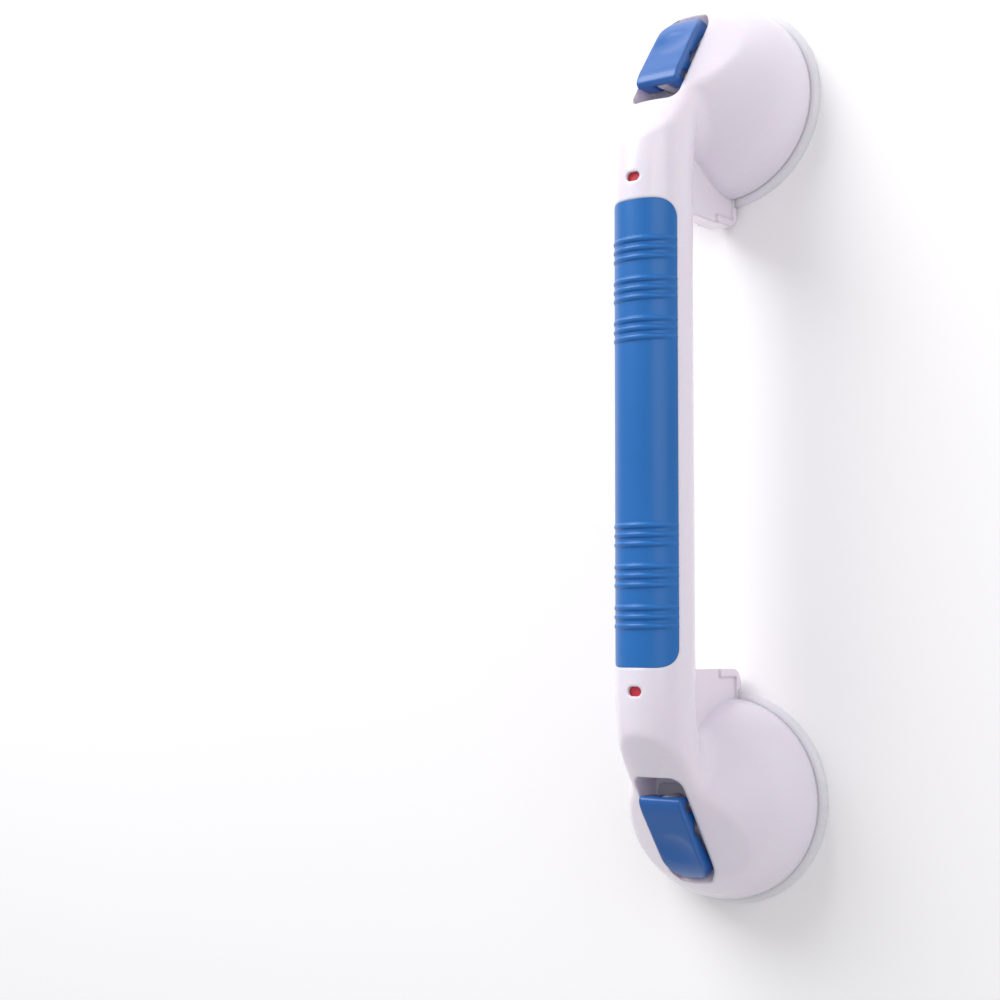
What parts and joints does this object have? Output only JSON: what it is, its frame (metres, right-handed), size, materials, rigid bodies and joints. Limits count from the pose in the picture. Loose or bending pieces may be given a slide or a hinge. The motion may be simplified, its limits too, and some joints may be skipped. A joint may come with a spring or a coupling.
{
  "type": "suction grab bar",
  "caption": "Suction grab bar: a round white bar with a blue ribbed grip, bell-shaped heads on suction cups, cam levers set into the heads and colour-change attachment indicators.",
  "frame": {"origin": "midway between the two suction cups, on the wall plane that their rims rest on", "axes": "+X along the bar, +Y across the bar, +Z away from the wall"},
  "size_m": [0.496, 0.114, 0.1018],
  "materials": {
    "body_white": "glossy moulded ABS",
    "grip_blue": "smooth soft-touch rubber, raised ribs",
    "cover_white": "glossy moulded ABS",
    "screw_steel": "zinc-plated pan-head screws",
    "cup_rubber": "soft translucent white PVC",
    "stem_grey": "light grey acetal",
    "spring_steel": "drawn spring wire",
    "ring_white": "white moulded polypropylene",
    "plate_grey": "light grey acetal wear plate",
    "lever_blue": "satin blue moulded ABS",
    "pin_steel": "ground stainless pin",
    "rod_white": "white acetal",
    "slide_green": "green moulded acetal",
    "flag_red": "red moulded tile"
  },
  "bodies": {
    "housing": {"body_shell": "body_white", "grip_pad": "grip_blue", "rear_cover": "cover_white", "rear_cover_screws": "screw_steel", "suction_cup_right": "cup_rubber", "return_spring_right": "spring_steel", "pressure_ring_right": "ring_white", "ring_screws_right": "screw_steel", "cam_plate_right": "plate_grey", "indicator_spring_right": "spring_steel", "suction_cup_left": "cup_rubber", "return_spring_left": "spring_steel", "pressure_ring_left": "ring_white", "ring_screws_left": "screw_steel", "cam_plate_left": "plate_grey", "indicator_spring_left": "spring_steel"},
    "stem_right": {"pull_stem_right": "stem_grey"},
    "lever_right": {"lever_right": "lever_blue", "lever_pin_right": "pin_steel", "pin_clips_right": "pin_steel"},
    "rod_right": {"indicator_rod_right": "rod_white"},
    "slide_right": {"indicator_slide_right": "slide_green", "indicator_flag_right": "flag_red"},
    "stem_left": {"pull_stem_left": "stem_grey"},
    "lever_left": {"lever_left": "lever_blue", "lever_pin_left": "pin_steel", "pin_clips_left": "pin_steel"},
    "rod_left": {"indicator_rod_left": "rod_white"},
    "slide_left": {"indicator_slide_left": "slide_green", "indicator_flag_left": "flag_red"}
  },
  "joints": [
    {"name": "stem_slide_right", "type": "slide", "parent": "housing", "child": "stem_right", "axis": [0, 0, -1], "range_m": [0, 0.004], "deforming": ["return_spring_right", "suction_cup_right"]},
    {"name": "lever_hinge_right", "type": "hinge", "parent": "stem_right", "child": "lever_right", "pos_m": [0.191, 0, 0.067], "axis": [0, -1, 0], "range_deg": [0, 90]},
    {"name": "rod_slide_right", "type": "slide", "parent": "housing", "child": "rod_right", "axis": [0, 0, 1], "range_m": [0, 0.0035], "stiffness_N_per_m": 120, "springref_m": -0.003},
    {"name": "indicator_slide_right", "type": "slide", "parent": "housing", "child": "slide_right", "axis": [-1, 0, 0], "range_m": [0, 0.007], "deforming": ["indicator_spring_right"]},
    {"name": "stem_slide_left", "type": "slide", "parent": "housing", "child": "stem_left", "axis": [0, 0, -1], "range_m": [0, 0.004], "deforming": ["return_spring_left", "suction_cup_left"]},
    {"name": "lever_hinge_left", "type": "hinge", "parent": "stem_left", "child": "lever_left", "pos_m": [-0.191, 0, 0.067], "axis": [0, 1, 0], "range_deg": [0, 90]},
    {"name": "rod_slide_left", "type": "slide", "parent": "housing", "child": "rod_left", "axis": [0, 0, 1], "range_m": [0, 0.0035], "stiffness_N_per_m": 120, "springref_m": -0.003},
    {"name": "indicator_slide_left", "type": "slide", "parent": "housing", "child": "slide_left", "axis": [1, 0, 0], "range_m": [0, 0.007], "deforming": ["indicator_spring_left"]}
  ],
  "couplings": [
    {"joint": "stem_slide_right", "follows": "lever_hinge_right", "m_per_rad": 0.0025465},
    {"joint": "indicator_slide_right", "follows": "rod_slide_right", "ratio": 2},
    {"joint": "stem_slide_left", "follows": "lever_hinge_left", "m_per_rad": 0.0025465},
    {"joint": "indicator_slide_left", "follows": "rod_slide_left", "ratio": 2}
  ]
}
